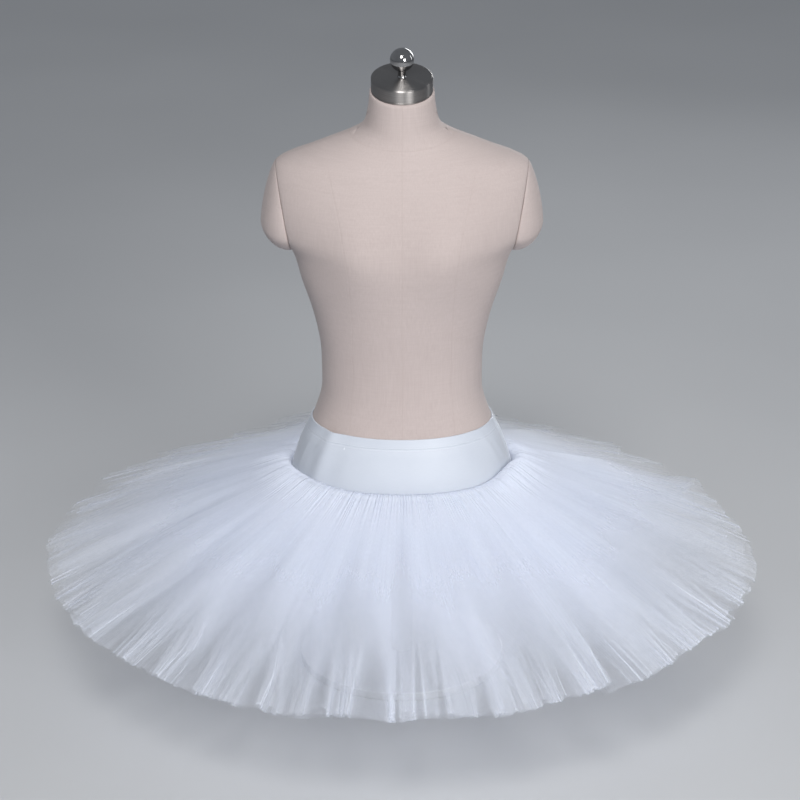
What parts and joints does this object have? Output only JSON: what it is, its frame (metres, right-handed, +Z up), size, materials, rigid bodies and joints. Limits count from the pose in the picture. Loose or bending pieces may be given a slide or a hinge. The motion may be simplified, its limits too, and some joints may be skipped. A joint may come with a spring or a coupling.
{
  "type": "ballet tutu on a dress form",
  "caption": "White gathered-net practice tutu with a satin basque, worn on a limbless linen dress form with a steel neck cap, on a short post and round base.",
  "frame": {"origin": "on the floor, at the centre of the base plate's underside", "axes": "+Z up, the garment's front faces -Y and its left side is at +X"},
  "size_m": [1.04, 1.0396, 0.9392],
  "materials": {
    "linen": "natural linen canvas, matt, with a vertical grain",
    "cap_steel": "turned and brushed steel",
    "ball_chrome": "polished",
    "stand_paint": "satin pale grey powder coat",
    "satin": "white stretch satin, soft sheen",
    "brief_cotton": "white cotton, matt",
    "net": "white stiff nylon net, see-through"
  },
  "bodies": {
    "root": {"form_torso": "linen", "form_arm_cap_left": "linen", "form_arm_cap_right": "linen", "form_neck_cap": "cap_steel", "form_finial": "ball_chrome", "form_post": "stand_paint", "form_base": "stand_paint", "waistband": "satin", "basque_front": "satin", "basque_back": "satin", "brief_front": "brief_cotton", "brief_back": "brief_cotton", "net_layer_1": "net", "net_layer_2": "net", "net_layer_3": "net", "net_layer_4": "net", "net_layer_5": "net", "net_layer_6": "net"}
  },
  "joints": []
}
